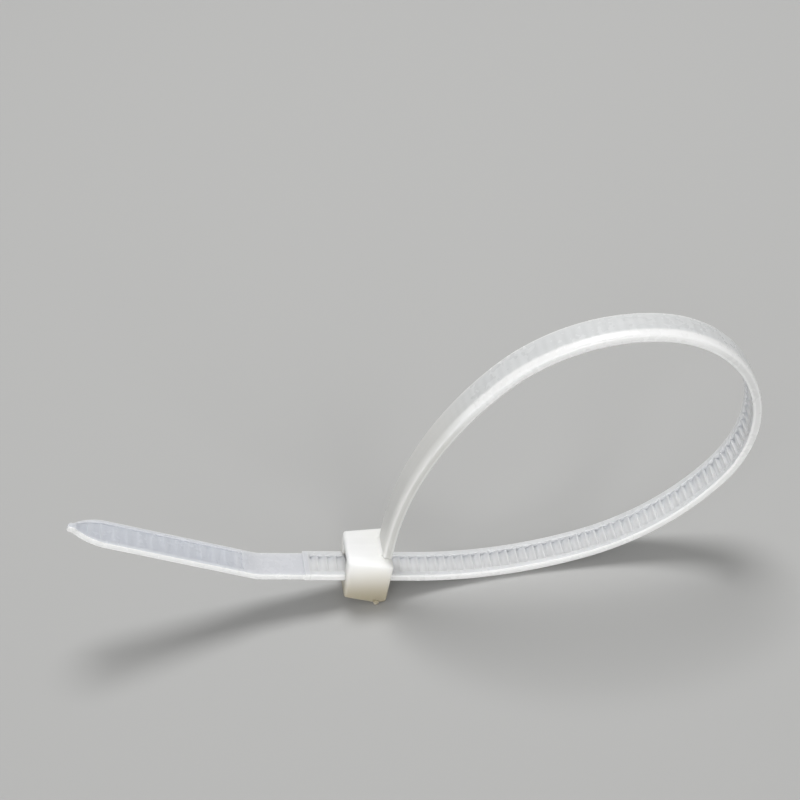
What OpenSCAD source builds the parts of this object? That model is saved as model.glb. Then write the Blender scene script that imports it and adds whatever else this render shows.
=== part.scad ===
// Self-locking cable tie in natural nylon, closed into a loop and standing as it rests on a table.
// The loop is drawn flat, with the strap's width along Z, and is stood up at the end.
// In the flat drawing the origin is where the slot's middle meets the head's entry face:
// the strap comes in along -X, and the head's strap root leaves along +Y.

/* [Strap] */
// Width of the strap
strap_w = 3.6; // [3.2:0.1:4.4]
// Thickness of the strap over its side rails
strap_t = 1.1; // [1:0.05:1.3]
// Width of the rounding on the strap's two outer edges
edge_w = 0.6; // [0.3:0.05:0.8]
// Height of that rounding
edge_h = 0.3; // [0.1:0.05:0.4]
// Length of the strap from the head to its tip
strap_l = 148.2; // [142:0.2:180]

/* [Toothed track] */
// Width of the toothed track between the rails
track_w = 2.4; // [2:0.1:2.6]
// Distance from one tooth to the next
tooth_pitch = 1.03; // [0.9:0.01:1.2]
// Height of a tooth above the bottom of the track
tooth_h = 0.39; // [0.3:0.01:0.42]
// Depth of the tooth tips below the rails
tooth_sink = 0.06; // [0.02:0.01:0.1]
// Width of the flat on top of a tooth
tooth_land = 0.12; // [0.08:0.01:0.16]
// Lean of a tooth's steep, locking face over its height
tooth_lean = 0.08; // [0.04:0.01:0.1]
// Smooth strap between the head and the first tooth
plain_l = 20; // [12:1:30]
// Toothed strap that shows past the head
teeth_out = 4.6; // [2:0.1:6]

/* [Loop] */
// Straight strap where it leaves the head
root_straight = 2; // [1:0.25:3]
// Turn of the long bend above the head
root_deg = 37; // [34:1:40]
// Turn of the upper bend
upper_deg = 54; // [51:1:57]
// Radius of the upper bend, to the middle of the strap
upper_r = 19.5; // [17:0.5:22]
// Turn of the far bend, which seats a round bundle
far_deg = 116; // [112:1:120]
// Radius of the far bend, to the middle of the strap
far_r = 13.5; // [12:0.25:15]
// Turn of the flat bend next to the head's entry
entry_deg = 24; // [22:1:26]
// Radius of the flat bend next to the head's entry, to the middle of the strap
entry_r = 47; // [43:0.5:51]
// Straight strap in front of the head's entry
entry_straight = 3; // [2:0.25:4]

/* [Head] */
// Width of the head at its entry face
head_in_w = 6.2; // [5.8:0.1:7]
// Width of the head at its exit face
head_out_w = 5; // [4.9:0.1:5.7]
// Depth of the head from entry to exit, at its low side
head_d = 4.7; // [4.4:0.1:5.4]
// Lean of the exit face: how much deeper the head is on the root side
head_lean = 0.3; // [0:0.05:0.4]
// Head above the middle of the slot, on the root side
head_up = 3.2; // [3.1:0.1:3.8]
// Head below the middle of the slot, at both ends of its low side
head_down = 2.4; // [1.8:0.1:3]
// Drop of the chin below those ends
chin_drop = 0.4; // [0.1:0.05:0.6]
// Distance of the chin from the entry face
chin_in = 1.1; // [0.8:0.1:1.6]
// Edge radius on the root side of the head
head_top_r = 0.35; // [0.2:0.05:0.65]
// Edge radius on the low side of the head
head_low_r = 0.3; // [0.2:0.05:0.5]
// Gap from the strap root's inner face to the head's entry face
root_inset = 0.05; // [0.02:0.01:0.2]
// Radius of the fillet between the head and the strap root
root_fillet = 0.5; // [0.3:0.05:0.7]

/* [Slot and pawl] */
// Gap beside each edge of the strap in the slot
side_gap = 0.15; // [0.08:0.01:0.2]
// Gap between the strap and the slot's floor and roof
slot_gap = 0.1; // [0.05:0.01:0.15]
// Flare of the slot's mouth at the entry face
mouth_flare = 0.3; // [0.1:0.05:0.4]
// Thickness of the wall between the entry face and the pawl's hinge
hinge_wall = 1.6; // [1.4:0.1:1.9]
// Thickness of the pawl's bending hinge
hinge_t = 0.5; // [0.35:0.05:0.6]
// Height of the hinge's underside over the strap's rails
hinge_up = 0.6; // [0.4:0.05:0.7]
// Length of the pawl's bending hinge
hinge_l = 0.5; // [0.3:0.05:0.6]
// Width of the pawl
pawl_w = 2.2; // [1.8:0.1:2.3]
// Distance that the pawl's tip stands out of the exit face
pawl_out = 0.6; // [0.1:0.05:0.8]
// Rise of the pawl's back from the hinge to its thick end
pawl_rise = 0.3; // [0.1:0.05:0.4]
// Room around the pawl to bend, above it and on each side
pawl_room = 0.45; // [0.35:0.05:0.5]
// Gap between the pawl's teeth and the strap's teeth
mesh_gap = 0.06; // [0.04:0.01:0.07]

/* [Tail] */
// Width of the smooth tail
tail_w = 3.35; // [3:0.05:3.6]
// Thickness of the smooth tail
tail_t = 0.9; // [0.8:0.05:1]
// Distance from the head's exit face to the tail's kink
kink_out = 9.4; // [7:0.1:14]
// Angle of the kink
kink_deg = 16; // [0.5:0.5:40]
// Radius of the kink, to the middle of the strap
kink_r = 2.5; // [1.5:0.25:5]
// Length of the pointed tip, from its shoulder to the nib
tip_l = 3.6; // [3:0.1:6]
// Width of the rounded nib that ends the tip
nib_w = 0.7; // [0.5:0.05:1]
// Length of that nib
nib_l = 0.6; // [0.5:0.05:1]
// Width of the smooth rim around the tail's grip
rim_w = 0.4; // [0.3:0.05:0.7]
// Depth of the recess that holds the grip ribs
grip_depth = 0.2; // [0.1:0.05:0.3]
// Distance from one grip rib to the next
rib_pitch = 1.4; // [1:0.1:2]
// Height of a grip rib in its recess
rib_h = 0.06; // [0.04:0.01:0.09]

/* [Moulding marks] */
// Diameter of the gate mark on the side of the head, at its chin
gate_d = 0.6; // [0.4:0.1:0.8]
// Height of the gate mark
gate_h = 0.2; // [0.1:0.05:0.3]

/* [Hidden] */
nylon = [0.90, 0.91, 0.90];
seat = 1;
over = 0.5;
lap = 0.05;
step_up = 0.005;
round_fn = 24;
fine_fn = 48;
bend_fn = 200;
edge_steps = 4;
tip_steps = 10;
rib_rise = 0.3;
rib_land = 0.2;
rib_fall = 0.1;
lower_deg = 270 - root_deg - upper_deg - far_deg - entry_deg;
root_x = -root_inset - strap_t / 2;
rail_y = strap_t / 2;
tip_y = rail_y - tooth_sink;
valley_y = tip_y - tooth_h;
slot_w = strap_w + 2 * side_gap;
slot_low = -strap_t / 2 - slot_gap;
slot_high = strap_t / 2 + slot_gap;
hinge_low = rail_y + hinge_up;
hinge_high = hinge_low + hinge_t;
chamber_w = pawl_w + 2 * side_gap;

// Headings along the strap: it starts up the root and turns clockwise until it enters the slot
turns = [root_deg, upper_deg, far_deg, lower_deg, entry_deg];
head_0 = 90;
head_1 = head_0 - turns[0];
head_2 = head_1 - turns[1];
head_3 = head_2 - turns[2];
head_4 = head_3 - turns[3];
head_5 = head_4 - turns[4];

// Step from the start to the end of a clockwise arc of radius r
function arc_step(r, from, to) = r * [sin(from) - sin(to), cos(to) - cos(from)];
function heading(h) = [cos(h), sin(h)];

// The root bend and the lower bend get the radii that close the loop on the head
fixed_steps = root_straight * heading(head_0) + arc_step(upper_r, head_1, head_2)
    + arc_step(far_r, head_2, head_3) + arc_step(entry_r, head_4, head_5)
    + entry_straight * heading(head_5);
gap_left = [-root_x, -head_up] - fixed_steps;
root_unit = arc_step(1, head_0, head_1);
lower_unit = arc_step(1, head_3, head_4);
cross_units = root_unit[0] * lower_unit[1] - root_unit[1] * lower_unit[0];
root_r = (gap_left[0] * lower_unit[1] - gap_left[1] * lower_unit[0]) / cross_units;
lower_r = (root_unit[0] * gap_left[1] - root_unit[1] * gap_left[0]) / cross_units;

// Stretches of the strap, each with its radius (0 for a straight), length and starting heading
function arc_l(r, deg) = r * deg * PI / 180;
through_l = head_d + kink_out;
loop_stretches = [
    [0, root_straight, head_0],
    [root_r, arc_l(root_r, root_deg), head_0],
    [upper_r, arc_l(upper_r, upper_deg), head_1],
    [far_r, arc_l(far_r, far_deg), head_2],
    [lower_r, arc_l(lower_r, lower_deg), head_3],
    [entry_r, arc_l(entry_r, entry_deg), head_4],
    [0, entry_straight, head_5]
];
stretches = concat(loop_stretches, [
    [0, through_l, head_5],
    [kink_r, arc_l(kink_r, kink_deg), head_5]
]);
function run_l(list, count) = count == 0 ? 0 : list[count - 1][1] + run_l(list, count - 1);
loop_l = run_l(stretches, len(loop_stretches));
toothed_l = loop_l + head_d + teeth_out;
kinked_l = strap_l - run_l(stretches, len(stretches));

// Place on the strap's middle line: the point and the heading s along a stretch that starts at p
function end_heading(st, s) = st[0] == 0 ? st[2] : st[2] - s / st[0] * 180 / PI;
function along(st, p, s) = st[0] == 0
    ? p + s * heading(st[2])
    : p + arc_step(st[0], st[2], end_heading(st, s));
function place(s, i = 0, p = [root_x, head_up]) =
    (s <= stretches[i][1] || i == len(stretches) - 1)
        ? [along(stretches[i], p, s), end_heading(stretches[i], s)]
        : place(s - stretches[i][1], i + 1, along(stretches[i], p, stretches[i][1]));

// Point at height y over the middle line, on the strap's toothed side
function over_strap(s, y) = let (q = place(s)) q[0] + y * [sin(q[1]), -cos(q[1])];

// Teeth: each rises steeply, has a small land and falls away towards the tail
tooth_count = floor((toothed_l - plain_l) / tooth_pitch);
function tooth_s(k) = plain_l + k * tooth_pitch;
tooth_profile = [
    [0, valley_y],
    [tooth_lean, tip_y],
    [tooth_lean + tooth_land, tip_y],
    [tooth_pitch - tooth_land, valley_y]
];

// Smallest height of the rails that the track's cutter reaches past
clear_y = rail_y + over;

// Rest: the table touches the flat bend of the loop and the head, at its chin or its entry corner
chin = [-chin_in, head_low_r - head_down - chin_drop];
low_corners = [[-head_low_r, head_low_r - head_down], chin];
entry_centre = [entry_straight, entry_r];
function rest_on(corner) = let (reach = entry_centre - corner)
    atan2(reach[1], reach[0]) - asin((entry_r + strap_t / 2 - head_low_r) / norm(reach));
rest_deg = max([for (c = low_corners) rest_on(c)]);
lift = head_low_r + max([for (c = low_corners) c[0] * sin(rest_deg) - c[1] * cos(rest_deg)]);

// Reach of the standing tie, for an origin in the middle of its base
function standing_x(p) = p[0] * cos(rest_deg) + p[1] * sin(rest_deg);
tail_root = place(run_l(stretches, len(stretches)));
tail_tip = tail_root[0] + kinked_l * heading(tail_root[1]);
reach_left = standing_x(tail_tip) - tail_t / 2 * abs(sin(tail_root[1] - rest_deg));
reach_right = max([for (s = [0:0.1:loop_l]) standing_x(over_strap(s, -rail_y))]);

// Half outline of the pointed tip, from its shoulder to the nib's width, as a tangent arc
function tip_outline(w) = let (
        narrowing = (w - nib_w) / 2,
        r = (tip_l * tip_l + narrowing * narrowing) / (2 * narrowing),
        end_a = asin(tip_l / r)
    ) [for (i = [0:tip_steps]) let (a = end_a * i / tip_steps) [r * sin(a), r * cos(a) - r + w / 2]];

// Half outline of the nib's round end, for a nib whose base is at x = 0
nib_outline = [for (i = [0:edge_steps]) let (a = 90 * i / edge_steps)
    [nib_l - nib_w / 2 + nib_w / 2 * sin(a), nib_w / 2 * cos(a)]];

// Cross-section of the strap: x is the thickness with the smooth face at +x, y is the width
module band_section(w, t) {
    function edge(y_side) = [for (i = [0:edge_steps])
        let (a = 90 * i / edge_steps, turn = y_side > 0 ? 90 - a : a)
        [t / 2 - edge_h + edge_h * sin(turn), y_side * (w / 2 - edge_w + edge_w * cos(turn))]];
    polygon(concat([[-t / 2, w / 2], [-t / 2, -w / 2]], edge(-1), edge(1)));
}

// One stretch of strap from point p: a straight bar, or an arc turned about its own centre
module band_stretch(st, p, w, t, more = 0) {
    if (st[0] == 0) {
        translate(p - more * heading(st[2]))
            rotate([90, 0, st[2] + 90])
            linear_extrude(st[1] + 2 * more) band_section(w, t);
    } else {
        centre = p + st[0] * [sin(st[2]), -cos(st[2])];
        turn = st[1] / st[0] * 180 / PI;
        more_turn = more / st[0] * 180 / PI;
        translate(centre)
            rotate([0, 0, st[2] + 90 - turn - more_turn])
            rotate_extrude(angle = turn + 2 * more_turn, $fn = bend_fn)
            translate([st[0], 0]) band_section(w, t);
    }
}

// A stretch that is a hair thicker and laps over both its neighbours, so that they fuse
module lapped_stretch(st, p, w, t) {
    band_stretch(st, p, w + 2 * step_up, t + 2 * step_up, lap);
}

// Plain strap from its seat in the head, round the loop and out to the end of the teeth
module plain_strap() {
    lapped_stretch([0, seat + root_straight, head_0], [root_x, head_up - seat], strap_w, strap_t);
    for (i = [1:len(loop_stretches) - 1]) {
        start = place(run_l(stretches, i))[0];
        if (i % 2 == 0) lapped_stretch(stretches[i], start, strap_w, strap_t);
        else band_stretch(stretches[i], start, strap_w, strap_t);
    }
    band_stretch([0, head_d + teeth_out, head_5], [0, 0], strap_w, strap_t);
}

// Space over the teeth, cut out of the strap between its rails
module track_cutter() {
    tooth_side = [for (k = [0:tooth_count - 1], q = tooth_profile)
        over_strap(tooth_s(k) + q[0], q[1])];
    open_side = [for (k = [tooth_count:-1:0]) over_strap(tooth_s(k), clear_y)];
    linear_extrude(track_w, center = true)
        polygon(concat(tooth_side, [over_strap(tooth_s(tooth_count), valley_y)], open_side));
}

// Smooth tail: a short run with the strap's outer face, the kink, then the gripped and pointed end
module tail() {
    outer = (strap_t - tail_t) / 2;
    start = [-head_d - teeth_out, -outer];
    kink_start = [-through_l, -outer];
    kink = [kink_r + outer, arc_l(kink_r + outer, kink_deg), head_5];
    band_stretch([0, kink_out - teeth_out, head_5], start, tail_w, tail_t);
    lapped_stretch(kink, kink_start, tail_w, tail_t);
    translate(along(kink, kink_start, kink[1])) rotate([0, 0, tail_root[1]]) kinked_end();
}

// Seen from above: the kinked end from its root to the nib's base, inset all round
module end_plate(inset) {
    w = tail_w - 2 * inset;
    shoulder = kinked_l - nib_l - inset - tip_l;
    half = concat([[0, w / 2]], [for (q = tip_outline(w)) [shoulder + q[0], q[1]]]);
    both_sides(half);
}

// Nib that ends the tip, with its own root inside the plate
module nib_plate() {
    base = kinked_l - nib_l;
    both_sides(concat([[base - over, nib_w / 2]], [for (q = nib_outline) [base + q[0], q[1]]]));
}

// Plate through the tail whose outline is the half outline given and its mirror image
module both_sides(half) {
    back = [for (i = [len(half) - 1:-1:0]) [half[i][0], -half[i][1]]];
    rotate([90, 0, 0]) linear_extrude(2 * strap_t, center = true) polygon(concat(half, back));
}

// Pointed end of the tail, with a recess of fine grip ribs inside a smooth rim
module kinked_end() {
    ribs_l = kinked_l - nib_l - rim_w;
    rib_count = floor((ribs_l - rib_pitch) / rib_pitch);
    floor_y = grip_depth - tail_t / 2;
    rib_profile = [
        [0, 0],
        [rib_pitch * rib_rise, rib_h],
        [rib_pitch * (rib_rise + rib_land), rib_h],
        [rib_pitch * (rib_rise + rib_land + rib_fall), 0]
    ];
    rib_side = [for (k = [0:rib_count - 1], q = rib_profile)
        [rib_pitch * (k + 1) + q[0], floor_y - q[1]]];
    difference() {
        intersection() {
            rotate([90, 0, 90]) linear_extrude(kinked_l) band_section(tail_w, tail_t);
            union() {
                end_plate(0);
                nib_plate();
            }
        }
        intersection() {
            linear_extrude(tail_w, center = true)
                polygon(concat(
                    [[rib_pitch, -strap_t]],
                    rib_side,
                    [[ribs_l, floor_y], [ribs_l, -strap_t]]
                ));
            end_plate(rim_w);
        }
    }
}

// Half width of the head at the distance given from its entry face
function head_half_w(x) = (head_in_w + (head_out_w - head_in_w) * x / head_d) / 2;

// Outside of the head: a block with soft edges and a chin, narrower at the exit than at the entry
module head_block() {
    hull() for (side = [-1, 1]) {
        corner([0, head_up], [-1, -1], side * head_in_w / 2, head_top_r);
        corner([-head_d - head_lean, head_up], [1, -1], side * head_out_w / 2, head_top_r);
        corner([0, -head_down], [-1, 1], side * head_in_w / 2, head_low_r);
        corner([-chin_in, -head_down - chin_drop], [0, 1], side * head_half_w(chin_in), head_low_r);
        corner([-head_d, -head_down], [1, 1], side * head_out_w / 2, head_low_r);
    }
}

// Ball that rounds the corner at point p of the head, inward along the signs given
module corner(p, inward, z, r) {
    translate([p[0] + inward[0] * r, p[1] + inward[1] * r, z - sign(z) * r])
        sphere(r, $fn = round_fn);
}

// Slot that the strap passes through, with a flared mouth
module slot() {
    translate([-head_d - over, slot_low, -slot_w / 2])
        cube([head_d + 2 * over, slot_high - slot_low, slot_w]);
    linear_extrude(slot_w, center = true)
        polygon([
            [-2 * mouth_flare, slot_low],
            [0, slot_low - mouth_flare],
            [over, slot_low - mouth_flare],
            [over, slot_high + mouth_flare / 2],
            [0, slot_high + mouth_flare / 2],
            [-mouth_flare, slot_high]
        ]);
}

// Room over the slot in which the pawl bends, open at the exit face
module pawl_chamber() {
    translate([-head_d - head_lean - over, 0, -chamber_w / 2])
        cube([head_d + head_lean + over - hinge_wall, hinge_high + pawl_rise + pawl_room, chamber_w]);
}

// Pawl: a tongue on a thin hinge at the entry wall, thick at its free end, which stands out of the
// exit face. Its teeth sit in the strap's teeth.
module pawl() {
    pawl_tip = head_d + pawl_out;
    hinge_end = hinge_wall + hinge_l;
    last_s = pawl_tip - tooth_lean - tooth_land;
    meshed = [for (k = [0:tooth_count - 1])
        let (s = tooth_s(k) - loop_l)
        if (s > hinge_end + tooth_land && s < last_s) s];
    tooth_side = [for (s = meshed, q = [
        [s - tooth_land, valley_y + mesh_gap],
        [s - mesh_gap, valley_y + mesh_gap],
        [s - mesh_gap + tooth_lean, tip_y + mesh_gap],
        [s + tooth_lean + tooth_land, tip_y + mesh_gap]
    ]) [-q[0], q[1]]];
    linear_extrude(pawl_w, center = true)
        polygon(concat(
            [[over - hinge_wall, hinge_high], [over - hinge_wall, hinge_low], [-hinge_end, hinge_low]],
            tooth_side,
            [
                [-pawl_tip, tip_y + mesh_gap + tooth_h / 2],
                [-pawl_tip, hinge_high],
                [-pawl_tip + pawl_rise, hinge_high + pawl_rise],
                [-hinge_end, hinge_high]
            ]
        ));
}

// Fillet where the strap root's smooth face leaves the head
module fillet() {
    face_x = root_x - strap_t / 2;
    linear_extrude(strap_w - 2 * edge_w, center = true)
        difference() {
            translate([face_x - root_fillet, head_up - over]) square(root_fillet + over);
            translate([face_x - root_fillet, head_up + root_fillet]) circle(root_fillet, $fn = fine_fn);
        }
}

// Trace of the moulding gate on the side of the head, over its chin
module gate_mark() {
    translate([-chin_in, gate_d / 2 - head_down - chin_drop, head_half_w(chin_in) - gate_d])
        cylinder(d = gate_d, h = gate_d + gate_h, $fn = fine_fn);
}

module head() {
    difference() {
        union() {
            head_block();
            fillet();
            gate_mark();
        }
        slot();
        pawl_chamber();
    }
    pawl();
}

module strap() {
    difference() {
        plain_strap();
        track_cutter();
    }
}

// Stands the flat drawing up on the table, with the origin in the middle of its base
module stand() {
    translate([-(reach_left + reach_right) / 2, 0, lift])
        rotate([90, 0, 0])
        rotate([0, 0, -rest_deg])
        children();
}

module cable_tie() {
    color(nylon) stand() {
        strap();
        tail();
        head();
    }
}

cable_tie();
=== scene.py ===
# Cable tie in natural nylon, closed into a loop and standing on a pale floor.
# The strap is modelled straight, as it is moulded, and then bent round the loop.
# Everything is modelled in millimetres in the loop's own plane (X and Y, width along Z),
# and is stood up and brought to metres at the end.
import bmesh
import bpy
import math
from mathutils import Matrix, Vector


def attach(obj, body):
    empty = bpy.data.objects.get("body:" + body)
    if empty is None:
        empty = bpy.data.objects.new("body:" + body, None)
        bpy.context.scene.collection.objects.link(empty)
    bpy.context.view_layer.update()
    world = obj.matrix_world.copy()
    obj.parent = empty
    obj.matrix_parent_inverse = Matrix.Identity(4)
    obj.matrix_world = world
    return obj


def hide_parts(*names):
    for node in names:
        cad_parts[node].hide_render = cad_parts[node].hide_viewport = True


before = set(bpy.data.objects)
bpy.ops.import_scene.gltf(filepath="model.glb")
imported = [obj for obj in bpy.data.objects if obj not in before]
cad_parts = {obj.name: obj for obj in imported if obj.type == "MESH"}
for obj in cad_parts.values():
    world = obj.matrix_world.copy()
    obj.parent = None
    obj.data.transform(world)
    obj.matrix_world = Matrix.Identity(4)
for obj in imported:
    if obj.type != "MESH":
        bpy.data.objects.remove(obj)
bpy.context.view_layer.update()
print("stage: frame loaded")


# helpers for modelling

def takeUp(piece):
    # makes this the one piece that the operators act on
    bpy.ops.object.select_all(action="DESELECT")
    piece.select_set(True)
    bpy.context.view_layer.objects.active = piece


def startBlock(name, size, centre):
    bpy.ops.object.select_all(action="DESELECT")
    bpy.ops.mesh.primitive_cube_add(size=1, location=centre, scale=size)
    return named(name)


def startRod(name, radius, length, centre, sides):
    bpy.ops.object.select_all(action="DESELECT")
    bpy.ops.mesh.primitive_cylinder_add(vertices=sides, radius=radius, depth=length, location=centre)
    return named(name)


def startPoint(name, at):
    # a single vertex to draw a wire from, left in edit mode
    bpy.ops.object.select_all(action="DESELECT")
    bpy.ops.mesh.primitive_plane_add(size=1)
    point = named(name)
    bpy.ops.object.mode_set(mode="EDIT")
    bpy.ops.mesh.merge(type="CENTER")
    bpy.ops.transform.translate(value=at)
    return point


def named(name):
    piece = bpy.context.object
    piece.name = name
    piece.data.name = name
    bpy.ops.object.transform_apply(location=True, rotation=True, scale=True)
    return piece


def editPiece(piece):
    takeUp(piece)
    bpy.ops.object.mode_set(mode="EDIT")


def leaveEdit():
    bpy.ops.object.mode_set(mode="OBJECT")


def pick(kind, test):
    # selects the vertices, edges or faces of the piece being edited that pass the test
    bpy.ops.mesh.select_mode(type={"verts": "VERT", "edges": "EDGE", "faces": "FACE"}[kind])
    bpy.ops.mesh.select_all(action="DESELECT")
    piece = bpy.context.object
    mesh = bmesh.from_edit_mesh(piece.data)
    mesh.normal_update()
    for part in getattr(mesh, kind):
        if test(part):
            part.select_set(True)
    mesh.select_flush_mode()
    bmesh.update_edit_mesh(piece.data)


def openEnd(x):
    # selects the open end of a strap that stops at this place
    pick("edges", lambda e: e.is_boundary and all(near(v.co.x, x) for v in e.verts))


def cutAt(point, normal):
    bpy.ops.mesh.select_all(action="SELECT")
    bpy.ops.mesh.bisect(plane_co=point, plane_no=normal)


def push(move):
    bpy.ops.mesh.extrude_region_move(TRANSFORM_OT_translate={"value": move})


def slide(move):
    bpy.ops.transform.translate(value=move)


def stretch(size, centre=(0, 0, 0)):
    bpy.ops.transform.resize(value=size, center_override=centre)


def faceOut():
    bpy.ops.mesh.select_all(action="SELECT")
    bpy.ops.mesh.normals_make_consistent(inside=False)


def applyAll(piece):
    takeUp(piece)
    for modifier in list(piece.modifiers):
        bpy.ops.object.modifier_apply(modifier=modifier.name)


def combine(piece, other, how):
    # adds the other piece to this one, or cuts it away
    modifier = piece.modifiers.new("Combine", "BOOLEAN")
    modifier.operation = how
    modifier.solver = "EXACT"
    modifier.object = other
    applyAll(piece)
    bpy.data.objects.remove(other)


def near(a, b, slack=0.004):
    return abs(a - b) < slack


# the loop's path

path = {
    "rootX": -0.6, "rootY": 3.2,         # where the strap leaves the head's top
    "rootStraight": 2.0, "rootTurn": 37,
    "upperRadius": 19.5, "upperTurn": 54,
    "farRadius": 13.5, "farTurn": 116,
    "entryRadius": 47, "entryTurn": 24, "entryStraight": 3.0,
    "headDepth": 4.7, "kinkOut": 9.4, "kinkRadius": 2.6, "kinkTurn": 16,
    "runIn": 2, "runOut": 24,            # more path before the root and after the kink
    "stepLength": 0.25, "fewestSteps": 8,
}


def way(heading):
    # one step along a heading in degrees
    return Vector((math.cos(math.radians(heading)), math.sin(math.radians(heading)), 0))


def toCentre(heading):
    # one step from the strap to the centre of its bend: every bend is clockwise
    return Vector((math.sin(math.radians(heading)), -math.cos(math.radians(heading)), 0))


def bendStep(radius, start, end):
    return radius * (toCentre(start) - toCentre(end))


def bendLength(radius, turn):
    return radius * math.radians(turn)


def closeLoop():
    # each bend's radius and turn: the root bend and the lower bend bring the strap back to the head
    p = path
    lowerTurn = 270 - p["rootTurn"] - p["upperTurn"] - p["farTurn"] - p["entryTurn"]
    headings = [90]
    for turn in (p["rootTurn"], p["upperTurn"], p["farTurn"], lowerTurn, p["entryTurn"]):
        headings.append(headings[-1] - turn)
    straights = p["rootStraight"] * way(headings[0]) + p["entryStraight"] * way(headings[5])
    gap = Vector((-p["rootX"], -p["rootY"], 0)) - straights
    gap -= bendStep(p["upperRadius"], headings[1], headings[2])
    gap -= bendStep(p["farRadius"], headings[2], headings[3])
    gap -= bendStep(p["entryRadius"], headings[4], headings[5])
    root = bendStep(1, headings[0], headings[1])
    lower = bendStep(1, headings[3], headings[4])
    cross = root.x * lower.y - root.y * lower.x
    rootRadius = (gap.x * lower.y - gap.y * lower.x) / cross
    lowerRadius = (root.x * gap.y - root.y * gap.x) / cross
    return [(rootRadius, p["rootTurn"]), (p["upperRadius"], p["upperTurn"]),
            (p["farRadius"], p["farTurn"]), (lowerRadius, lowerTurn),
            (p["entryRadius"], p["entryTurn"])]


bends = closeLoop()
loopLength = path["rootStraight"] + path["entryStraight"] + sum(bendLength(*bend) for bend in bends)
headEnd = loopLength + path["headDepth"]


def makePath():
    # a wire of straights and spins, turned into a curve for the strap to follow
    at = Vector((path["rootX"], path["rootY"] - path["runIn"], 0))
    startPoint("loopPath", at)
    heading = 90

    def straight(length):
        nonlocal at
        push(way(heading) * length)
        at = at + way(heading) * length

    def bend(radius, turn):
        nonlocal at, heading
        steps = max(path["fewestSteps"], math.ceil(bendLength(radius, turn) / path["stepLength"]))
        bpy.ops.mesh.spin(steps=steps, angle=math.radians(turn), axis=(0, 0, 1),
                          center=at + radius * toCentre(heading))
        at = at + bendStep(radius, heading, heading - turn)
        heading -= turn

    straight(path["runIn"] + path["rootStraight"])
    for radius, turn in bends:
        bend(radius, turn)
    straight(path["entryStraight"] + path["headDepth"] + path["kinkOut"])
    bend(path["kinkRadius"], path["kinkTurn"])
    straight(path["runOut"])
    leaveEdit()
    bpy.ops.object.convert(target="CURVE")
    curve = bpy.context.object
    curve.data.dimensions = "2D"
    curve.data.use_path = True
    first = curve.data.splines[0].points[0].co
    if not (near(first.x, path["rootX"]) and near(first.y, path["rootY"] - path["runIn"])):
        bpy.ops.object.mode_set(mode="EDIT")
        bpy.ops.curve.select_all(action="SELECT")
        bpy.ops.curve.switch_direction()
        leaveEdit()
    return curve


# the strap

strap = {
    "width": 3.6, "thick": 1.1,
    "flatHalf": 0.9, "fall": 0.3,        # the smooth face: flat to here, then it falls to the edges
    "railRound": 0.08,
    "rows": [0.5, 0.9, 1.2, 1.37, 1.52, 1.66, 1.75, 1.785],
    "trackWidth": 2.4, "trackStep": 0.03,
    "wallDraft": 0.975,                  # the track's floor, as a share of its width
    "pitch": 1.03, "toothHeight": 0.39, "toothSink": 0.06, "toothLand": 0.12, "toothLean": 0.08,
    "tooth": [(0, 0), (0.03, 0.12), (0.07, 0.32), (0.11, 0.38), (0.15, 0.39), (0.2, 0.38),
              (0.27, 0.34), (0.83, 0.035), (0.93, 0)],
    "plainLength": 20.0, "teethOut": 4.6, "length": 148.2,
    "seat": 0.95,                        # the strap starts this far inside the head
    "longestFace": 0.7,
}
innerFace = -strap["thick"] / 2          # the toothed side faces -Y
smoothSide = strap["thick"] / 2
toothTip = innerFace + strap["toothSink"]
toothValley = toothTip + strap["toothHeight"]
halfTrack = strap["trackWidth"] / 2
tailStart = headEnd + strap["teethOut"]
toothCount = int((tailStart - strap["plainLength"]) / strap["pitch"])
toothEnd = strap["plainLength"] + toothCount * strap["pitch"]


def quarter(share):
    # how far a quarter circle has fallen at this share of its width
    u = min(1, max(0, share))
    return 1 - math.sqrt(1 - u * u)


def edgeFall(z):
    flat = strap["flatHalf"]
    return strap["fall"] * quarter((abs(z) - flat) / (strap["width"] / 2 - flat))


def railRise(z):
    r = strap["railRound"]
    return r * quarter((abs(z) - strap["width"] / 2 + r) / r)


def makeLink():
    # one pitch of strap: rows of faces first, then its rounded edges, the sunk track and the tooth
    w, t, p = strap["width"], strap["thick"], strap["pitch"]
    link = startBlock("strap", (p, t, w), (p / 2, 0, 0))
    editPiece(link)
    pick("faces", lambda f: abs(f.normal.x) > 0.9)
    bpy.ops.mesh.delete(type="FACE")
    cutAt((0, 0, 0), (0, 0, 1))
    for z in strap["rows"]:
        cutAt((0, 0, z), (0, 0, 1))
        cutAt((0, 0, -z), (0, 0, 1))
    for corner in strap["tooth"][1:]:
        cutAt((corner[0], 0, 0), (1, 0, 0))
    for z in strap["rows"] + [w / 2]:
        if edgeFall(z) > 0:
            pick("verts", lambda v: near(v.co.y, smoothSide) and near(abs(v.co.z), z))
            slide((0, -edgeFall(z), 0))
        if railRise(z) > 0:
            pick("verts", lambda v: near(v.co.y, innerFace) and near(abs(v.co.z), z))
            slide((0, railRise(z), 0))
    pick("faces", lambda f: f.normal.y < -0.9 and abs(f.calc_center_median().z) < halfTrack)
    push((0, strap["toothSink"], 0))
    pick("faces", lambda f: any(all(near(v.co.x, end) for v in f.verts) for end in (0, p)))
    bpy.ops.mesh.delete(type="FACE")
    pick("verts", lambda v: near(v.co.y, toothTip) and abs(v.co.z) < halfTrack + 0.01)
    stretch((1, 1, strap["wallDraft"]))
    for x, height in strap["tooth"] + [(p, 0)]:
        pick("verts", lambda v: near(v.co.y, toothTip) and abs(v.co.z) < halfTrack and near(v.co.x, x))
        slide((0, strap["toothHeight"] - height, 0))
    leaveEdit()
    return link


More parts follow.
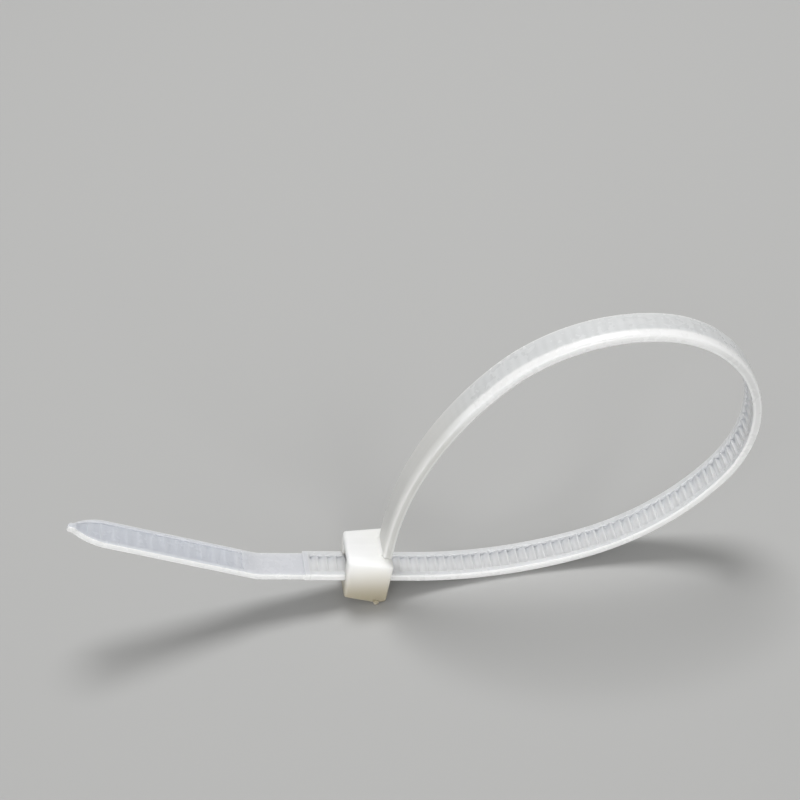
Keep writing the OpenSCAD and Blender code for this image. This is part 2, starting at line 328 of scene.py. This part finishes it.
def repeatLink(link):
    repeat = link.modifiers.new("Teeth", "ARRAY")
    repeat.count = toothCount
    repeat.use_relative_offset = False
    repeat.use_constant_offset = True
    repeat.constant_offset_displace = (strap["pitch"], 0, 0)
    repeat.use_merge_vertices = True
    repeat.merge_threshold = 0.002
    applyAll(link)


def closeTrack(end, step):
    # the track's floor comes level with the rails just past this end of it
    openEnd(end)
    push((step, 0, 0))
    pick("verts", lambda v: near(v.co.x, end + step) and near(v.co.y, toothValley)
         and abs(v.co.z) < halfTrack)
    slide((0, innerFace - toothValley, 0))


def runOn(start, end):
    # carries the open end on to a new place, in faces short enough to bend
    count = max(1, math.ceil(abs(end - start) / strap["longestFace"]))
    openEnd(start)
    for i in range(count):
        push(((end - start) / count, 0, 0))


def makeStrap():
    link = makeLink()
    repeatLink(link)
    editPiece(link)
    bpy.ops.mesh.select_all(action="SELECT")
    slide((strap["plainLength"], 0, 0))
    # plain strap back to its root in the head
    closeTrack(strap["plainLength"], -strap["trackStep"])
    runOn(strap["plainLength"] - strap["trackStep"], -strap["seat"])
    openEnd(-strap["seat"])
    bpy.ops.mesh.edge_face_add()
    # a short plain end, and then the tail
    closeTrack(toothEnd, strap["trackStep"])
    runOn(toothEnd + strap["trackStep"], tailStart)
    makeTail()
    makeGrip()
    faceOut()
    leaveEdit()
    print("stage: strap modelled straight,", toothCount, "teeth,", len(link.data.polygons), "faces")
    return link


# the tail

tail = {
    "width": 3.35, "thick": 0.9, "step": 0.02,
    "kinkRun": 1.6,                      # a row of faces lies this far before the kink's end
    "tipLength": 3.6, "tipSteps": 10, "nibWidth": 0.7, "nibLength": 0.6, "nibThin": 0.12,
    "nibAngles": (0, 25, 45, 62, 76),    # rows of faces round the nib, in degrees
    "rimRow": 1.37, "gripDepth": 0.2,
    "ribsBack": 0.4, "gripBack": 0.35,   # the ribs and the grip stop this far before the nib
    "ribPitch": 1.4, "ribHeight": 0.06,
    "ribTop": (0.3, 0.5), "ribFoot": (0.6, 1.0),     # a rib's places as shares of its pitch
    "closest": 0.03,                     # rows nearer than this are left out
    "narrowest": 0.12,                   # the map's stretch stops here
}
tailOff = (strap["thick"] - tail["thick"]) / 2
kinkEnd = headEnd + path["kinkOut"] + bendLength(path["kinkRadius"] - tailOff, path["kinkTurn"])
gripStart = kinkEnd + tail["ribPitch"]
nibBase = strap["length"] - tail["nibLength"]
nibHalf = tail["nibWidth"] / 2
ribCount = int((nibBase - tail["ribsBack"] - gripStart) / tail["ribPitch"])


def tailHalf(s):
    # half the tail's width: a tangent arc to the nib, and the nib's round end
    full = tail["width"] / 2
    shoulder = nibBase - tail["tipLength"]
    if s <= shoulder:
        return full
    if s <= nibBase:
        narrowing = full - nibHalf
        r = (tail["tipLength"] ** 2 + narrowing ** 2) / (2 * narrowing)
        return math.sqrt(r * r - (s - shoulder) ** 2) - r + full
    past = max(0, s - (strap["length"] - nibHalf))
    return math.sqrt(max(nibHalf * nibHalf - past * past, 0))


def ribPlaces(shares):
    return [gripStart + (k + share) * tail["ribPitch"] for k in range(ribCount) for share in shares]


def tailPlaces():
    # where the tail has a row of faces, from its grip to the round of its nib
    tip = [nibBase - tail["tipLength"] * (1 - i / tail["tipSteps"]) for i in range(tail["tipSteps"] + 1)]
    nib = [strap["length"] - nibHalf * (1 - math.sin(math.radians(a))) for a in tail["nibAngles"]]
    grip = ribPlaces(tail["ribTop"] + tail["ribFoot"])
    places = sorted(s for s in grip + tip if s < nibBase - tail["closest"]) + [nibBase] + nib
    return [s for i, s in enumerate(places) if i == 0 or s - places[i - 1] > tail["closest"]]


def makeTail():
    # the strap steps down to the tail, which runs round the kink and out to the nib
    openEnd(tailStart)
    push((tail["step"], 0, 0))
    stretch((1, tail["thick"] / strap["thick"], tail["width"] / strap["width"]), (0, smoothSide, 0))
    runOn(tailStart + tail["step"], kinkEnd - tail["kinkRun"])
    runOn(kinkEnd - tail["kinkRun"], gripStart)
    openEnd(gripStart)
    x, half = gripStart, tailHalf(gripStart)
    for s in tailPlaces():
        thin = tail["nibThin"] * max(0, s - nibBase) / tail["nibLength"]
        push((s - x, 0, 0))
        stretch((1, 1 - thin, tailHalf(s) / half), (0, tailOff, 0))
        x, half = s, tailHalf(s)
    bpy.ops.mesh.edge_face_add()


def makeGrip():
    # a recess inside a smooth rim, crossed by fine ribs
    tailInner = smoothSide - tail["thick"]
    gripEnd = max(s for s in tailPlaces() if s < nibBase - tail["gripBack"])
    ribTops = ribPlaces(tail["ribTop"])

    def inGrip(f):
        c = f.calc_center_median()
        reach = tail["rimRow"] * tailHalf(c.x) / (strap["width"] / 2)
        return (f.normal.y < -0.9 and near(c.y, tailInner, 0.02)
                and gripStart < c.x < gripEnd and abs(c.z) < reach)

    def onRib(v):
        return (near(v.co.y, tailInner + tail["gripDepth"])
                and any(near(v.co.x, s, 0.02) for s in ribTops))

    pick("faces", inGrip)
    push((0, tail["gripDepth"], 0))
    pick("verts", onRib)
    slide((0, -tail["ribHeight"], 0))


def mapPiece(piece, isHead):
    # two maps in millimetres: one runs along the strap and across it, stretched on the tail so that
    # the edges are 1.8 out all along; the other runs through the thickness and marks the head
    place = piece.data.uv_layers.active or piece.data.uv_layers.new(name="alongStrap")
    place.name = "alongStrap"
    through = piece.data.uv_layers.new(name="throughStrap")
    for loop in piece.data.loops:
        at = piece.data.vertices[loop.vertex_index].co
        spread = 1
        if not isHead and at.x > tailStart + tail["step"] / 2:
            spread = strap["width"] / 2 / max(tailHalf(at.x), tail["narrowest"])
        place.data[loop.index].uv = (at.x, at.z * spread)
        through.data[loop.index].uv = (at.y, isHead)


def bendStrap(piece, curve):
    # the path starts below the root, so the strap is moved on by as much
    piece.data.transform(Matrix.Translation((path["runIn"], 0, 0)))
    follow = piece.modifiers.new("Loop", "CURVE")
    follow.object = curve
    follow.deform_axis = "POS_X"
    applyAll(piece)
    bpy.data.objects.remove(curve)


strapPiece = makeStrap()
mapPiece(strapPiece, 0)
bendStrap(strapPiece, makePath())
print("stage: strap bent round its loop")


# the head

head = {
    "widthIn": 6.2, "widthOut": 5.0, "depth": path["headDepth"], "lean": 0.3,
    "up": 3.2, "down": 2.4, "chinIn": 1.1, "chinDrop": 0.4,
    "edge": 0.35, "edgeSteps": 5,
    "topEdge": 1.0, "lowEdge": 0.86, "cornerEdge": 0.95,     # shares of the edge's width
    "slotHigh": 0.62, "slotWidth": 3.74, "flare": 0.3, "flareWide": 1.03,
    "hingeWall": 1.6, "hingeLow": 1.15, "hingeHigh": 1.65, "neck": 0.5,
    "pawlWidth": 2.2, "pawlTip": 5.3, "pawlRise": 0.3, "pawlGap": 0.06,
    "room": 0.45, "sideRoom": 0.15,      # over the pawl and on each side of it
    "fillet": 0.5, "filletWidth": 2.6, "filletSides": 48,
    "gateSize": 0.6, "gateHeight": 0.2, "gateLength": 0.8, "gateSides": 24,
    "spare": 0.5,                        # how far a piece runs on past what it cuts or joins
}
headBack = head["depth"] + head["lean"] + head["spare"]


def makeBlock():
    # the head's block, with an exit face that leans back at the top and a chin on the low side
    h = head
    block = startBlock("head", (h["depth"], h["up"] + h["down"], h["widthIn"]),
                       (-h["depth"] / 2, (h["up"] - h["down"]) / 2, 0))
    editPiece(block)
    pick("verts", lambda v: near(v.co.x, -h["depth"]))
    stretch((1, 1, h["widthOut"] / h["widthIn"]))
    cutAt((-h["chinIn"], 0, 0), (1, 0, 0))
    pick("verts", lambda v: near(v.co.x, -h["chinIn"]) and v.co.y < 0)
    slide((0, -h["chinDrop"], 0))
    pick("verts", lambda v: near(v.co.x, -h["depth"]) and v.co.y > 0)
    slide((-h["lean"], 0, 0))
    leaveEdit()
    return block


def softenEdges(block):
    h = head
    weights = block.data.attributes.new("bevel_weight_edge", "FLOAT", "EDGE")
    for edge in block.data.edges:
        ends = [block.data.vertices[i].co for i in edge.vertices]
        atCut = all(near(v.x, -h["chinIn"]) for v in ends)
        if all(near(v.y, h["up"]) for v in ends):
            weights.data[edge.index].value = 0 if atCut else h["topEdge"]
        elif all(v.y < 0 for v in ends):
            weights.data[edge.index].value = h["lowEdge"]
        elif not atCut:
            weights.data[edge.index].value = h["cornerEdge"]
    soften = block.modifiers.new("Soften", "BEVEL")
    soften.width = h["edge"]
    soften.segments = h["edgeSteps"]
    soften.limit_method = "WEIGHT"
    applyAll(block)


def makeSlotCut():
    # the strap's passage, flared at the entry face
    h = head
    slot = startBlock("slotCut", (headBack - h["flare"], 2 * h["slotHigh"], h["slotWidth"]),
                      (-(headBack + h["flare"]) / 2, 0, 0))
    editPiece(slot)
    pick("faces", lambda f: f.normal.x > 0.9)
    push((h["flare"], 0, 0))
    stretch((1, 1 + h["flare"] / h["slotHigh"], h["flareWide"]))
    push((h["spare"], 0, 0))
    leaveEdit()
    return slot


def makePawlRoom():
    h = head
    top = h["hingeHigh"] + h["pawlRise"] + h["room"]
    size = (headBack - h["hingeWall"], top, h["pawlWidth"] + 2 * h["sideRoom"])
    return startBlock("pawlRoom", size, (-(headBack + h["hingeWall"]) / 2, top / 2, 0))


def pawlTeeth():
    # the strap's teeth that the pawl sits on, as places behind the entry face
    first = head["hingeWall"] + head["neck"] + strap["toothLand"]
    last = head["pawlTip"] - strap["toothLean"] - strap["toothLand"]
    places = [strap["plainLength"] + k * strap["pitch"] - loopLength for k in range(toothCount)]
    return [s for s in places if first <= s < last]


def makePawl():
    # a tongue on a thin hinge, drawn as a wire, filled and pushed out to its width
    h = head
    hingeStart, hingeEnd = h["hingeWall"] - h["neck"], h["hingeWall"] + h["neck"]
    land, lean = strap["toothLand"], strap["toothLean"]
    low = h["pawlGap"] - toothValley     # inside the head the track faces +Y
    high = h["pawlGap"] - toothTip
    outline = [(hingeStart, h["hingeLow"]), (hingeEnd, h["hingeLow"])]
    for s in pawlTeeth():
        face = s - h["pawlGap"]
        outline += [(s - land, low), (face, low), (face + lean, high), (s + lean + land, high)]
    outline += [(h["pawlTip"], high + strap["toothHeight"] / 2), (h["pawlTip"], h["hingeHigh"]),
                (h["pawlTip"] - h["pawlRise"], h["hingeHigh"] + h["pawlRise"]),
                (hingeEnd, h["hingeHigh"]), (hingeStart, h["hingeHigh"])]
    points = [Vector((-s, y, -h["pawlWidth"] / 2)) for s, y in outline]
    pawl = startPoint("pawl", points[0])
    for i in range(1, len(points)):
        push(points[i] - points[i - 1])
    bpy.ops.mesh.select_all(action="SELECT")
    bpy.ops.mesh.edge_face_add()
    push((0, 0, h["pawlWidth"]))
    faceOut()
    leaveEdit()
    return pawl


def makeFillet():
    # the soft corner where the strap's smooth face rises from the head
    r, spare, up = head["fillet"], head["spare"], head["up"]
    face = path["rootX"] - strap["thick"] / 2
    corner = startBlock("rootFillet", (r + spare, r + spare, head["filletWidth"]),
                        (face + (spare - r) / 2, up + (r - spare) / 2, 0))
    rod = startRod("filletCut", r, head["filletWidth"] + 2 * spare, (face - r, up + r, 0),
                   head["filletSides"])
    combine(corner, rod, "DIFFERENCE")
    return corner


def makeGate():
    # the trace of the moulding gate, on the near side of the head over its chin
    h = head
    r = h["gateSize"] / 2
    side = (h["widthIn"] + (h["widthOut"] - h["widthIn"]) * h["chinIn"] / h["depth"]) / 2
    centre = (-h["chinIn"], r - h["down"] - h["chinDrop"], side + h["gateHeight"] - h["gateLength"] / 2)
    return startRod("gate", r, h["gateLength"], centre, h["gateSides"])


headPiece = makeBlock()
softenEdges(headPiece)
combine(headPiece, makeSlotCut(), "DIFFERENCE")
combine(headPiece, makePawlRoom(), "DIFFERENCE")
combine(headPiece, makePawl(), "UNION")
combine(headPiece, makeFillet(), "UNION")
combine(headPiece, makeGate(), "UNION")
mapPiece(headPiece, 1)
print("stage: head modelled,", len(headPiece.data.polygons), "faces")


# one moulding, stood up on its entry bend and the low side of its head

stand = {"cornerRound": 0.3, "smoothAngle": 32}


def restTurn(corner):
    # the turn that brings the entry bend and this corner of the head level with each other
    reach = Vector((path["entryStraight"], path["entryRadius"], 0)) - corner
    drop = path["entryRadius"] + strap["thick"] / 2 - stand["cornerRound"]
    return math.atan2(reach.y, reach.x) - math.asin(drop / reach.length)


def farReach(turn):
    # how far the far bend reaches once the loop is turned
    centre = Vector((path["rootX"], path["rootY"] + path["rootStraight"], 0))
    heading = 90
    for radius, angle in bends[:2]:
        centre += bendStep(radius, heading, heading - angle)
        heading -= angle
    centre += path["farRadius"] * toCentre(heading)
    return (turn @ centre).x + path["farRadius"] + strap["thick"] / 2


def tailReach(turn):
    # how far the tail's tip reaches on the other side
    heading = -180 - path["kinkTurn"]
    tip = Vector((-path["headDepth"] - path["kinkOut"], 0, 0))
    tip += bendStep(path["kinkRadius"] - tailOff, -180, heading) + (strap["length"] - kinkEnd) * way(heading)
    return (turn @ tip).x - tail["thick"] / 2 * abs((turn @ way(heading)).y)


def standUp(piece):
    r = stand["cornerRound"]
    corners = [Vector((-r, r - head["down"], 0)),
               Vector((-head["chinIn"], r - head["down"] - head["chinDrop"], 0))]
    turn = Matrix.Rotation(-max(restTurn(corner) for corner in corners), 4, "Z")
    lift = r - min((turn @ corner).y for corner in corners)
    middle = (farReach(turn) + tailReach(turn)) / 2
    upright = Matrix.Rotation(math.radians(90), 4, "X")
    piece.data.transform(Matrix.Translation((-middle, 0, lift)) @ upright @ turn)
    piece.data.transform(Matrix.Scale(0.001, 4))     # to metres
    print("stage: stood up, lifted by", round(lift, 5), "and moved by", round(-middle, 5))


combine(strapPiece, headPiece, "UNION")
tie = strapPiece
tie.name = "tie"
standUp(tie)
takeUp(tie)
bpy.ops.object.shade_smooth_by_angle(angle=math.radians(stand["smoothAngle"]))
print("stage: one moulding,", len(tie.data.polygons), "faces, maps",
      [layer.name for layer in tie.data.uv_layers])


# nylon

nylon = {
    # the track's far side is painted shade from its far wall, and the track itself is painted lighter
    # against the shade of its recess
    "trackFarShade": (0.62, 0.63, 0.655), "track": (0.72, 0.727, 0.735),
    # the side and edge colours are painted light: the glow of the strap's side faces and edges, and a
    # painted highlight band along its smooth face
    "rail": (0.64, 0.65, 0.66), "side": (0.84, 0.845, 0.84), "edge": (0.96, 0.965, 0.96),
    # the plain strap's edges are painted a little lighter and its side faces darker: painted light and shade
    "plain": (0.66, 0.66, 0.645), "plainEdgeLight": (0.68, 0.68, 0.665), "plainSideShade": (0.60, 0.60, 0.58),
    "smoothFace": (0.69, 0.70, 0.705), "smoothTail": (0.65, 0.66, 0.69), "grip": (0.60, 0.62, 0.665),
    # the head's warm ivory is its own colour; lighter at the top and much darker and browner towards the
    # bottom is painted light and shade
    "head": (0.96, 0.952, 0.92), "headLowShade": (0.43, 0.385, 0.285),
    # how much each of these lightens or darkens the colour; ridges, valleys, glow, dulled and softened are
    # painted light and shade
    "clouds": 0.04, "mottle": 0.01, "flow": 0.03, "rungs": 0.05, "ridges": 0.12, "valleys": 0.05,
    "glow": 0.3, "farBendEdgeShade": 0.22, "softened": 0.11,
    "plainRimLight": 0.1,                     # share of the painted rim light that the plain strap has
    "waveMiddle": 0.56,                  # where in a pitch the softening is lightest
    "roughness": 0.27, "plainRoughness": 0.45, "trackRoughness": 0.5, "headRoughness": 0.4,
    "roughClouds": 0.07, "roughGrain": 0.03,
    "cloudScale": 120, "mottleScale": 450, "grainScale": 1500, "flowStretch": (0.07, 2.2, 1),
    "grainRelief": 0.06, "mottleRelief": 0.4, "flowRelief": 0.15,
    "bumpStrength": 0.15, "bumpDistance": 0.000015,
    "ior": 1.53, "scatter": 0.0015,
}

# where one look passes into the next
zones = {
    # along the strap
    "toTeeth": (strap["plainLength"] - 4, strap["plainLength"] + 6),
    "toGloss": (strap["plainLength"], strap["plainLength"] + 6),
    "toTail": (toothEnd, toothEnd + 0.3), "toGrip": (toothEnd + 6, toothEnd + 10),
    "toBend": (46, 54), "pastBend": (58, 74), "toSoft": (50, 58), "pastSoft": (68, 80),
    # across it, to 1.8 at the near edge and -1.8 at the far edge
    "pastTrack": (1.1, 1.22), "pastLines": (0.9, 1.25), "toSide": (1.66, 1.79), "toRim": (1.68, 1.79),
    "toPlainEdge": (1.0, 1.5), "toNearRim": (0.75, 1.2), "pastFarRim": (-1.7, -1.3),
    "toNearTrack": (-1.3, 0.1),
    # through it, to 0.55 at the smooth face
    "toSmooth": (0.1, 0.3), "pastFoot": (-0.36, -0.22),
    # over one tooth, in shares of the pitch
    "toRidge": (0.02, 0.09), "pastRidge": (0.28, 0.6), "toValley": (0.45, 0.75), "toLine": (0.08, 0.46),
    # over the height of the head, in metres
    # the height over which the head's painted shade falls
    "headShadeHeight": (0.0006, 0.0066),
}


def makeNylon():
    material = bpy.data.materials.new("naturalNylon")
    material.use_nodes = True
    nodes, links = material.node_tree.nodes, material.node_tree.links
    shader = nodes["Principled BSDF"]

    def node(kind, **settings):
        made = nodes.new("ShaderNode" + kind)
        for key, value in settings.items():
            setattr(made, key, value)
        return made

    def feed(socket, value):
        if isinstance(value, bpy.types.NodeSocket):
            links.new(value, socket)
        else:
            socket.default_value = value

    def maths(how, a, b=0.0):
        made = node("Math", operation=how)
        feed(made.inputs[0], a)
        feed(made.inputs[1], b)
        return made.outputs[0]

    def product(first, *others):
        for other in others:
            first = maths("MULTIPLY", first, other)
        return first

    def total(first, *others):
        for other in others:
            first = maths("ADD", first, other)
        return first

    def less(a, b):
        return maths("SUBTRACT", a, b)

    def larger(a, b):
        return maths("MAXIMUM", a, b)

    def rise(value, zone, start=0.0, end=1.0):
        # goes smoothly from start to end while the value crosses the zone
        made = node("MapRange", interpolation_type="SMOOTHSTEP")
        feed(made.inputs["Value"], value)
        for name, number in zip(("From Min", "From Max", "To Min", "To Max"), (*zones[zone], start, end)):
            made.inputs[name].default_value = number
        return made.outputs["Result"]

    def fall(value, zone):
        return rise(value, zone, 1, 0)

    def mix(share, a, b):
        made = node("Mix", data_type="RGBA")
        for place, value in ((0, share), (6, a), (7, b)):
            feed(made.inputs[place], (*nylon[value], 1) if isinstance(value, str) else value)
        return made.outputs[2]

    def noise(vector, scale, detail, rough=0.5):
        made = node("TexNoise")
        feed(made.inputs["Vector"], vector)
        made.inputs["Scale"].default_value = scale
        made.inputs["Detail"].default_value = detail
        made.inputs["Roughness"].default_value = rough
        return made.outputs["Fac"]

    def vary(pattern, amount):
        return product(less(pattern, 0.5), amount * 2)

    def split(vector):
        made = node("SeparateXYZ")
        links.new(vector, made.inputs[0])
        return made.outputs

    along = node("UVMap", uv_map="alongStrap").outputs["UV"]
    s, v = split(along)[:2]
    across = maths("ABSOLUTE", v)
    t, isHead = split(node("UVMap", uv_map="throughStrap").outputs["UV"])[:2]
    solid = node("TexCoord").outputs["Object"]

    # where things are on the strap
    inTail = rise(s, "toTail")
    toothed = product(rise(s, "toTeeth"), fall(s, "toTail"))
    smoothFace = rise(t, "toSmooth")
    toothedFace = less(1.0, smoothFace)
    onTrack = fall(across, "pastTrack")
    inTrack = product(toothed, toothedFace, onTrack)
    # painted highlight: a broad bright band along the smooth face's near edge and a narrower one along its
    # far edge
    smoothRimHighlight = larger(rise(v, "toNearRim"), fall(v, "pastFarRim"))
    # painted light along these rims and along the toothed face's outer edges
    rim = total(product(smoothFace, smoothRimHighlight), product(toothedFace, rise(across, "toRim")))
    sideMiddle = product(rise(across, "toSide"), rise(t, "pastFoot"), fall(t, "toSmooth"))
    # the far bend, where painted light stands in for light coming through the strap
    farBend = product(rise(s, "toBend"), fall(s, "pastBend"))
    softTeeth = product(inTrack, rise(s, "toSoft"), fall(s, "pastSoft"))

    # the teeth: broad ridges in the track, which show through the smooth face as soft stripes
    rung = maths("FRACT", maths("DIVIDE", less(s, strap["plainLength"]), strap["pitch"]))
    # painted shade on the tooth ridges and painted light in the valleys, against the shading of the teeth
    paintedRidgeShade = product(rise(rung, "toRidge"), fall(rung, "pastRidge"), inTrack)
    paintedValleyLight = product(rise(rung, "toValley"), inTrack)
    line = rise(maths("ABSOLUTE", less(rung, 0.5)), "toLine")
    linesThrough = product(line, toothed, smoothFace, fall(across, "pastLines"))
    # a painted wave of light and shade against the teeth's shading in the far bend
    paintedLightShadeWave = maths("COSINE", product(less(rung, nylon["waveMiddle"]), 2 * math.pi))

    # colour: plain strap, toothed strap from both sides, tail, painted light on the edges and side faces,
    # and the head with painted shade towards its bottom
    # the toothed side: rails, and a track painted lighter against the shade of its recess, with painted
    # shade towards its far wall
    inner = mix(onTrack, "rail", mix(rise(v, "toNearTrack"), "trackFarShade", "track"))
    plain = mix(rise(across, "toPlainEdge"), "plain", "plainEdgeLight")
    body = mix(toothed, plain, mix(smoothFace, inner, "smoothFace"))
    body = mix(inTail, body, mix(rise(s, "toGrip"), "smoothTail", "grip"))
    # paints the light of the edge colour over the rims, with only a little of it on the plain strap
    body = mix(product(rim, larger(toothed, rise(s, "toTail", nylon["plainRimLight"]))), body, "edge")
    # paints the side faces: painted light on the toothed strap and tail, painted shade on the plain strap
    body = mix(sideMiddle, body, mix(larger(toothed, inTail), "plainSideShade", "side"))
    # the head: painted light at its top and painted shade towards its bottom
    body = mix(isHead, body, mix(rise(split(solid)[2], "headShadeHeight"), "headLowShade", "head"))

    # tone: unevenness, the teeth seen through the smooth face, painted shade on the tooth ridges and painted
    # light in their valleys, and painted light in the far bend for light coming through the strap there,
    # where the track is painted to glow, a painted wave of light and shade softens its teeth and painted
    # shade dulls the edges
    clouds = noise(solid, nylon["cloudScale"], 3)
    mottle = noise(solid, nylon["mottleScale"], 2)
    grain = noise(solid, nylon["grainScale"], 1)
    drawn = node("Mapping")
    links.new(along, drawn.inputs["Vector"])
    drawn.inputs["Scale"].default_value = nylon["flowStretch"]
    flow = noise(drawn.outputs[0], 1, 1, 0.4)
    tone = total(vary(clouds, nylon["clouds"]), vary(mottle, nylon["mottle"]), vary(flow, nylon["flow"]),
                 product(linesThrough, -nylon["rungs"]), product(paintedRidgeShade, -nylon["ridges"]),
                 product(paintedValleyLight, nylon["valleys"]), product(inTrack, farBend, nylon["glow"]),
                 product(paintedLightShadeWave, softTeeth, nylon["softened"]),
                 product(larger(rim, sideMiddle), farBend, -nylon["farBendEdgeShade"]))
    shaded = node("VectorMath", operation="SCALE")
    links.new(body, shaded.inputs[0])
    links.new(total(tone, 1.0), shaded.inputs["Scale"])
    links.new(shaded.outputs[0], shader.inputs["Base Color"])

    # roughness: glossy strap, duller track and root, and a finely matte head, each a little uneven
    gloss = nylon["roughness"]
    plainStrap = product(less(1.0, toothed), fall(s, "toGloss"), less(1.0, isHead))
    rough = total(product(inTrack, nylon["trackRoughness"] - gloss), gloss,
                  product(isHead, nylon["headRoughness"] - gloss),
                  product(plainStrap, nylon["plainRoughness"] - gloss),
                  vary(clouds, nylon["roughClouds"]), vary(grain, nylon["roughGrain"]))
    links.new(rough, shader.inputs["Roughness"])

    # relief: fine grain, slow waves left by the mould and flow lines along the strap
    bump = node("Bump")
    bump.inputs["Strength"].default_value = nylon["bumpStrength"]
    bump.inputs["Distance"].default_value = nylon["bumpDistance"]
    relief = total(product(grain, nylon["grainRelief"]), product(mottle, nylon["mottleRelief"]),
                   product(flow, nylon["flowRelief"]))
    links.new(relief, bump.inputs["Height"])
    links.new(bump.outputs[0], shader.inputs["Normal"])

    shader.inputs["IOR"].default_value = nylon["ior"]
    shader.inputs["Subsurface Weight"].default_value = 1.0
    shader.inputs["Subsurface Radius"].default_value = (1.0, 1.0, 1.0)
    shader.inputs["Subsurface Scale"].default_value = nylon["scatter"]
    return material


tie.data.materials.clear()
tie.data.materials.append(makeNylon())
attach(tie, "root")
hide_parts("cable_tie")
print("stage: nylon on")


# floor, light and camera

room = {
    "floor": (0.475, 0.475, 0.47, 1), "floorSize": 6, "floorRoughness": 0.8,
    "world": (0.80, 0.80, 0.79, 1), "worldStrength": 0.46,
    "aim": (0, 0, 0.012),                # what the lamps point at
}
lamps = {
    "key": {"power": 1.32, "size": (0.2, 0.2), "place": (0.03, 0.17, 0.46), "spread": 180},
    "fill": {"power": 0.6, "size": (0.5, 0.4), "place": (-0.2, -0.45, 0.24), "spread": 180},
    "low": {"power": 0.2, "size": (0.5, 0.15), "place": (-0.05, -0.92, 0.17), "spread": 40},
}
view = {
    "lens": 76.22, "sensor": 36, "nearest": 0.01,
    "place": (-0.012486, -0.125524, 0.143939), "turn": (47.1062, 3.4554, -8.4394),
}


def makeFloor():
    bpy.ops.object.select_all(action="DESELECT")
    bpy.ops.mesh.primitive_plane_add(size=room["floorSize"], location=(0, 0, 0))
    floor = bpy.context.object
    floor.name = "floor"
    material = bpy.data.materials.new("paleFloor")
    material.use_nodes = True
    shader = material.node_tree.nodes["Principled BSDF"]
    shader.inputs["Base Color"].default_value = room["floor"]
    shader.inputs["Roughness"].default_value = room["floorRoughness"]
    floor.data.materials.append(material)


def makeLamp(name, lamp):
    data = bpy.data.lights.new(name, "AREA")
    data.shape = "ELLIPSE"
    data.size, data.size_y = lamp["size"]
    data.energy = lamp["power"]
    data.spread = math.radians(lamp["spread"])
    made = bpy.data.objects.new(name, data)
    bpy.context.scene.collection.objects.link(made)
    made.location = lamp["place"]
    toAim = Vector(room["aim"]) - Vector(lamp["place"])
    made.rotation_euler = toAim.to_track_quat("-Z", "Y").to_euler()


def makeWorld():
    world = bpy.data.worlds.new("room")
    world.use_nodes = True
    background = world.node_tree.nodes["Background"]
    background.inputs["Color"].default_value = room["world"]
    background.inputs["Strength"].default_value = room["worldStrength"]
    bpy.context.scene.world = world


def makeCamera():
    data = bpy.data.cameras.new("camera")
    data.sensor_width = view["sensor"]
    data.sensor_fit = "HORIZONTAL"
    data.lens = view["lens"]
    data.clip_start = view["nearest"]
    camera = bpy.data.objects.new("camera", data)
    bpy.context.scene.collection.objects.link(camera)
    camera.location = view["place"]
    camera.rotation_euler = [math.radians(a) for a in view["turn"]]
    bpy.context.scene.camera = camera


makeFloor()
for name, lamp in lamps.items():
    makeLamp(name, lamp)
makeWorld()
makeCamera()
bpy.context.scene.view_settings.view_transform = "Standard"
print("stage: floor, light and camera")
